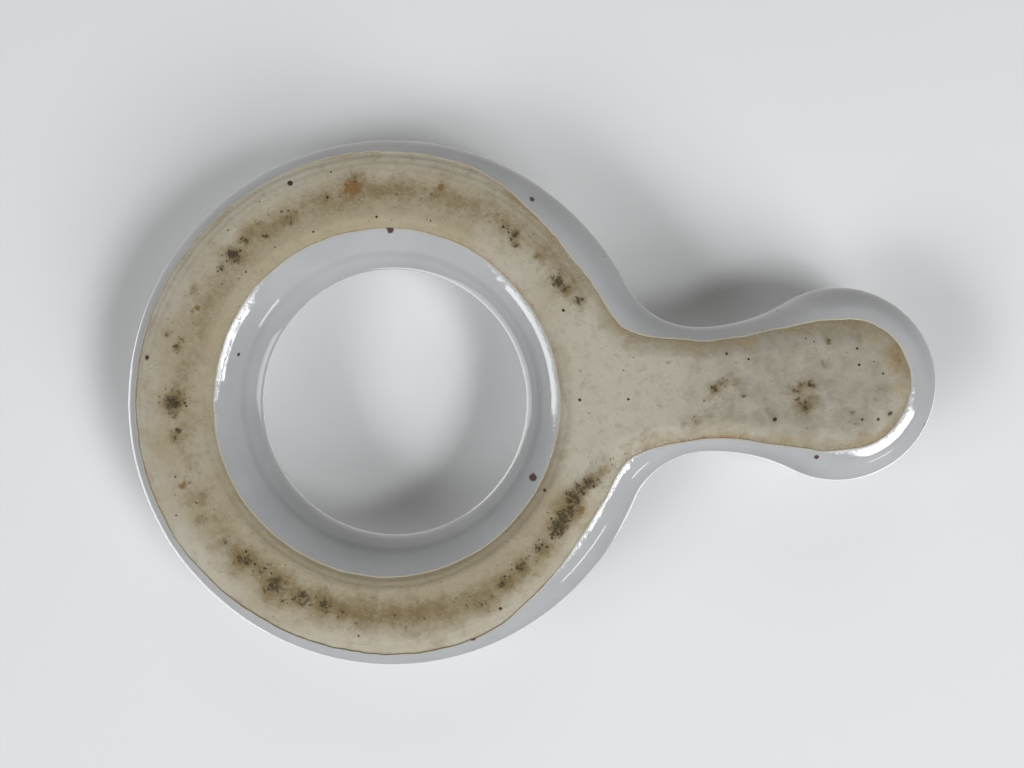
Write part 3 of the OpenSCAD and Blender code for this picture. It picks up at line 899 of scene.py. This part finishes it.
def clayValues(side, bare, far):
    spread = claySpread
    r = np.hypot(bare[..., 0], bare[..., 1])
    turn = np.degrees(np.abs(np.arctan2(bare[..., 1], bare[..., 0])))
    onHandle = mix(*spread["handlePale"], ease((r - spread["handleRadius"]) / spread["handleOver"]))
    onHandle = onHandle * (1 - ease((turn - spread["handleTurn"]) / spread["handleTurnOver"]))
    onRim = spread["rimPale"] * ease((r - spread["rimRadius"]) / spread["rimOver"])
    (fromX, fromY), (overX, overY) = spread["ochreFrom"], spread["ochreOver"]
    ochreHere = ease((bare[..., 0] - fromX) / overX) * (1 - ease((bare[..., 1] - fromY) / overY))
    x, y = bare[..., 0] - wornRing["middle"][0], bare[..., 1] - wornRing["middle"][1]
    band = np.exp(-(((np.hypot(x, y) - wornRing["radius"]) / wornRing["width"]) ** 2))
    band = band * np.interp(np.degrees(-np.arctan2(y, x)) % 360, *zip(*wornRing["depths"]))
    dull = ease((bare[..., 0] - crestR - spread["dullFrom"]) / spread["dullOver"])
    reach, over = spread["redReach"]
    return {
        "fromGlaze": far * mix(*spread["ochreThin"][side], ochreHere),
        "paleness": np.maximum(np.maximum(onHandle, onRim), blots(bare, paleMarks)),
        "dull": spread["dullMost"] * dull,
        "ochre": blots(bare, ochreMarks),
        "stain": np.maximum(band, blots(bare, tanMarks)),
        "red": blots(bare, redMarks) * np.clip(reach - far / over, 0, 1),
        "rust": blots(bare, rustMarks),
        "dark": blots(bare, darkMarks, spread["darkSpread"]),
    }


claySheets, glazeSheets = [], []
for side in ("outer", "hole"):
    edge, middle = loops[side]
    turned = side == "hole"
    inset = insetAt(side, edge)
    skin = skinOf(side, inset)
    out = facing(side, skin)
    thick = np.full(len(skin), glazeEdge["thickness"])
    thick[-1] *= glazeEdge["endShare"]
    under = skin - out * thick[:, None, None]
    glaze = np.concatenate([skin, lipOf(skin, out)])
    steps = np.linalg.norm(np.diff(glaze, axis=0), axis=-1)[::-1]
    fromEdge = np.concatenate([np.zeros((1, len(edge))), np.cumsum(steps, 0)])[::-1]
    inner = under[:-1:glazeEdge["innerStep"]]
    inner = np.concatenate([inner, under[-1:]])
    glazeSheets.append((glaze, turned, {"fromEdge": fromEdge}))
    hidden = np.concatenate([inner, glaze[-1:]])
    glazeSheets.append((hidden, not turned, {"fromEdge": glazeLook["deepInside"]}))
    claySheets.append((inner, turned, {"fromGlaze": 0.0}))
    bare, far = footOf(side, inset, under[-1, :, 2])
    values = clayValues(side, bare, far)
    values = {key: np.concatenate([value[:1], value]) for key, value in values.items()}
    claySheets.append((np.concatenate([under[-1:], bare]), turned, values))

clay = joinSheets("fired_clay", claySheets, clayMaterial())
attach(clay, "root")
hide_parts("clay_body")
glazeSkin = joinSheets("glaze_skin", glazeSheets, glazeMaterial())
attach(glazeSkin, "root")
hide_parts("glaze_coat")
print("pieces made:", len(clay.data.vertices), "and", len(glazeSkin.data.vertices), "points")

# The stage: a floor under the foot, and a table that the glazed top lies on when it is
# turned over. Each shows from its own side only.
stageLook = {
    "colour": (0.725, 0.73, 0.737),
    "roughness": 0.9,
    "specular": 0.0,
    "size": 3.0,  # metres, as the next two
    "fadeFrom": 0.12,
    "fadeTo": 0.6,
}


def stagePlane(name, height, up):
    mesh = bpy.data.meshes.new(name)
    far = stageLook["size"] / 2
    corners = [(-far, -far, height), (far, -far, height), (far, far, height), (-far, far, height)]
    mesh.from_pydata(corners if up else corners[::-1], [], [(0, 1, 2, 3)])
    plane = bpy.data.objects.new(name, mesh)
    bpy.context.scene.collection.objects.link(plane)
    mesh.materials.append(stageMaterial)
    for rays in ("diffuse", "glossy", "transmission", "shadow"):
        setattr(plane, "visible_" + rays, False)


stageMaterial, tree, shader, place = newMaterial("paleTable")
shader.inputs["Base Color"].default_value = (*stageLook["colour"], 1)
shader.inputs["Roughness"].default_value = stageLook["roughness"]
shader.inputs["Specular IOR Level"].default_value = stageLook["specular"]
behind = addNode(tree, "NewGeometry").outputs["Backfacing"]
away = addNode(tree, "VectorMath", {0: place}, operation="LENGTH").outputs["Value"]
faded = ramp(tree, away, stageLook["fadeFrom"], stageLook["fadeTo"])
faded = maths(tree, "MAXIMUM", behind, faded)
clear = addNode(tree, "BsdfTransparent")
chosen = addNode(tree, "MixShader", {0: faded, 1: shader.outputs[0], 2: clear.outputs[0]})
ending = next(node for node in tree.nodes if node.type == "OUTPUT_MATERIAL")
tree.links.new(chosen.outputs[0], ending.inputs["Surface"])
stagePlane("floor", 0.0, True)
stagePlane("table", cadBox[1][2], False)

# Seen from below: azimuth runs from the picture's right towards its top, and elevation
# rises from the table towards the camera
tilt = math.radians(2.35)
pictureRight = Vector((math.cos(tilt), math.sin(tilt), 0))
pictureUp = Vector((math.sin(tilt), -math.cos(tilt), 0))
daylight = (0.97, 0.985, 1.0)
warmWhite = (1.0, 0.995, 0.98)
coolWhite = (0.98, 0.99, 1.0)
lamps = {  # azimuth, elevation, distance, width, height, watts, colour
    "windowLeft": (198, -37, 0.45, 0.27, 0.09, 0.57, daylight),
    "windowRight": (-27, -49, 0.45, 0.18, 0.1, 0.96, daylight),
    "sillRight": (-44, -7, 0.45, 0.12, 0.035, 0.08, daylight),
    "softboxLeft": (200, 58, 0.5, 0.35, 0.35, 0.35, warmWhite),
    "softboxRight": (-20, 60, 0.5, 0.2, 0.2, 0.15, coolWhite),
}
softLamps = {  # the same, without a highlight of their own
    "wallLeft": (219, -34, 0.9, 0.4, 0.36, 2.9, daylight),
    "wallRight": (-48, -33, 0.9, 0.4, 0.36, 3.9, daylight),
    "wallFar": (90, -34, 0.6, 0.3, 0.2, 0.3, (1.0, 0.96, 0.84)),
    "lowFar": (100, 12, 0.5, 0.5, 0.2, 1.05, (1.0, 0.99, 0.95)),
    "aboveFar": (120, 48, 0.5, 0.4, 0.4, 1.15, warmWhite),
    "aboveNear": (-40, 68, 0.5, 0.4, 0.4, 0.95, coolWhite),
}


def addLamp(name, towards, distance, width, height, watts, colour):
    lamp = bpy.data.lights.new(name, "AREA")
    lamp.shape = "RECTANGLE"
    lamp.size, lamp.size_y = width, height
    lamp.energy = watts
    lamp.color = colour
    made = bpy.data.objects.new(name, lamp)
    made.location = towards * distance
    made.rotation_mode = "QUATERNION"
    made.rotation_quaternion = towards.to_track_quat("Z", "Y")
    bpy.context.scene.collection.objects.link(made)
    return made


for name, (azimuth, elevation, *rest) in (lamps | softLamps).items():
    a, e = math.radians(azimuth), math.radians(elevation)
    flat = pictureRight * math.cos(a) + pictureUp * math.sin(a)
    made = addLamp(name, flat * math.cos(e) + Vector((0, 0, math.sin(e))), *rest)
    made.visible_glossy = name in lamps

worldLook = {
    "colour": (1.0, 0.985, 0.91),
    "light": 0.015,
    "fromTable": 0.22,  # more on the sides that face the table
    "tableRise": (-0.1, 0.5),  # from none to all of it, as the way turns up
    "skyRise": (-0.2, 0.9),
    "background": (0.80, 0.81, 0.82),
    "overhead": (0.5, 0.5, 0.5),
}
world = bpy.data.worlds.new("pale")
bpy.context.scene.world = world
world.use_nodes = True
tree = world.node_tree
tree.nodes.clear()
rays = addNode(tree, "LightPath").outputs
shown = maths(tree, "MAXIMUM", rays["Is Glossy Ray"], rays["Is Transmission Ray"])
shown = maths(tree, "MAXIMUM", rays["Is Camera Ray"], shown)
way = addNode(tree, "TexCoord").outputs["Generated"]
rise = addNode(tree, "SeparateXYZ", {0: way}).outputs["Z"]
fromTable = ramp(tree, rise, *worldLook["tableRise"])
strength = maths(tree, "MULTIPLY_ADD", fromTable, worldLook["fromTable"], worldLook["light"])
light = addNode(tree, "Background", {"Color": (*worldLook["colour"], 1), "Strength": strength})
over = ramp(tree, rise, *worldLook["skyRise"])
sky = blendColour(tree, over, worldLook["background"], worldLook["overhead"])
backdrop = addNode(tree, "Background", {"Color": sky, "Strength": 1.0})
chosen = addNode(tree, "MixShader", {0: shown, 1: light.outputs[0], 2: backdrop.outputs[0]})
addNode(tree, "OutputWorld", {"Surface": chosen.outputs[0]})

view = {  # millimetres
    "place": (-1.642, -1.094, -67.91),
    "focal": 29.92,
    "sensor": 36.0,
    "clip": (1, 10000),
}
camera = bpy.data.cameras.new("camera")
camera.lens = view["focal"]
camera.sensor_width = view["sensor"]
camera.clip_start, camera.clip_end = [far * mm for far in view["clip"]]
eye = bpy.data.objects.new("camera", camera)
bpy.context.scene.collection.objects.link(eye)
axes = Matrix((pictureRight, pictureUp, Vector((0, 0, -1)))).transposed().to_4x4()
eye.matrix_world = Matrix.Translation(Vector(view["place"]) * mm) @ axes
bpy.context.scene.camera = eye
bpy.context.scene.view_settings.view_transform = "Standard"
print("stage, lamps and camera made")
